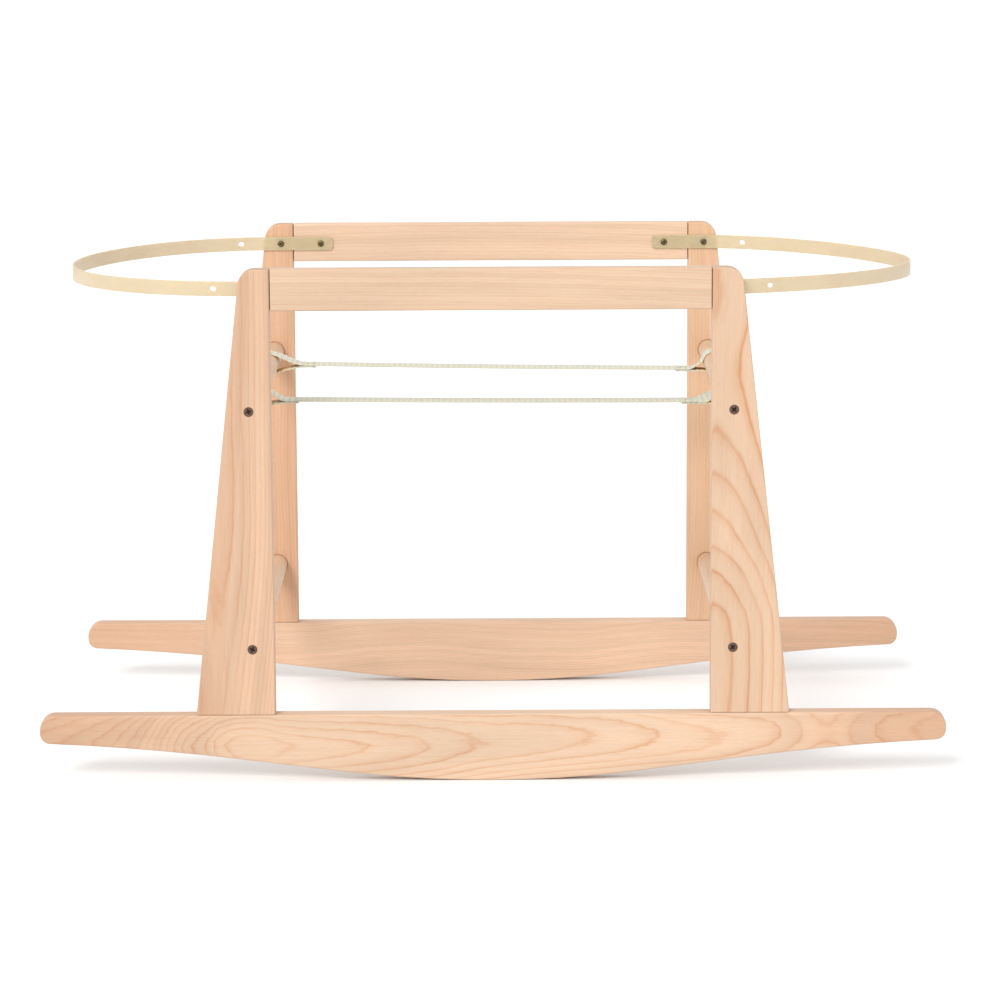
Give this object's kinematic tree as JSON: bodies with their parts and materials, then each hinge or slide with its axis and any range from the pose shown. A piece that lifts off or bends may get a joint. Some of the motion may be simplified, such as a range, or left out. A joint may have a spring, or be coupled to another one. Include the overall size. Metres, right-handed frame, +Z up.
{
  "type": "rocking basket stand",
  "caption": "Beech rocking stand for a baby basket: rocker frames joined by cross dowels, webbing straps that carry the basket and bent nylon hoops that guard its ends.",
  "frame": {"origin": "on the floor under the middle of the stand, where its rockers touch the floor at rest", "axes": "+X along the rockers to the right, +Y from the front frame to the back frame, +Z up"},
  "size_m": [0.88, 0.46, 0.4999],
  "materials": {
    "rocker_beech": "pale beech with a cathedral figure, sanded smooth, under a thin matt lacquer",
    "leg_beech": "pale beech, sanded smooth, under a thin matt lacquer",
    "rail_beech": "pale beech with straight fine grain, under a thin matt lacquer",
    "dowel_beech": "turned beech rod, sanded, under a thin matt lacquer",
    "pin_beech": "plain beech pins, glued and out of sight",
    "dark_bronzed_steel": "dark bronzed countersunk screws with a cross recess",
    "yellow_bronzed_steel": "small bronzed pan head screws",
    "cream_nylon": "translucent cream nylon strip, satin",
    "cream_webbing": "ribbed cream webbing, sewn"
  },
  "bodies": {
    "frame": {"front_rocker": "rocker_beech", "front_top_rail": "rail_beech", "back_rocker": "rocker_beech", "back_top_rail": "rail_beech", "front_left_leg": "leg_beech", "front_left_foot_pins": "pin_beech", "front_left_rail_pins": "pin_beech", "front_left_upper_screw": "dark_bronzed_steel", "front_left_lower_screw": "dark_bronzed_steel", "front_left_hoop_screws": "yellow_bronzed_steel", "front_right_leg": "leg_beech", "front_right_foot_pins": "pin_beech", "front_right_rail_pins": "pin_beech", "front_right_upper_screw": "dark_bronzed_steel", "front_right_lower_screw": "dark_bronzed_steel", "front_right_hoop_screws": "yellow_bronzed_steel", "back_left_leg": "leg_beech", "back_left_foot_pins": "pin_beech", "back_left_rail_pins": "pin_beech", "back_left_upper_screw": "dark_bronzed_steel", "back_left_lower_screw": "dark_bronzed_steel", "back_left_hoop_screws": "yellow_bronzed_steel", "back_right_leg": "leg_beech", "back_right_foot_pins": "pin_beech", "back_right_rail_pins": "pin_beech", "back_right_upper_screw": "dark_bronzed_steel", "back_right_lower_screw": "dark_bronzed_steel", "back_right_hoop_screws": "yellow_bronzed_steel", "left_upper_dowel": "dowel_beech", "left_lower_dowel": "dowel_beech", "left_hoop": "cream_nylon", "right_upper_dowel": "dowel_beech", "right_lower_dowel": "dowel_beech", "right_hoop": "cream_nylon"},
    "front_strap": {"front_strap": "cream_webbing"},
    "back_strap": {"back_strap": "cream_webbing"}
  },
  "joints": [
    {"name": "front_strap_slide", "type": "slide", "parent": "frame", "child": "front_strap", "axis": [0, 1, 0], "range_m": [-0.079, 0.1]},
    {"name": "back_strap_slide", "type": "slide", "parent": "frame", "child": "back_strap", "axis": [0, 1, 0], "range_m": [-0.1, 0.079]}
  ]
}
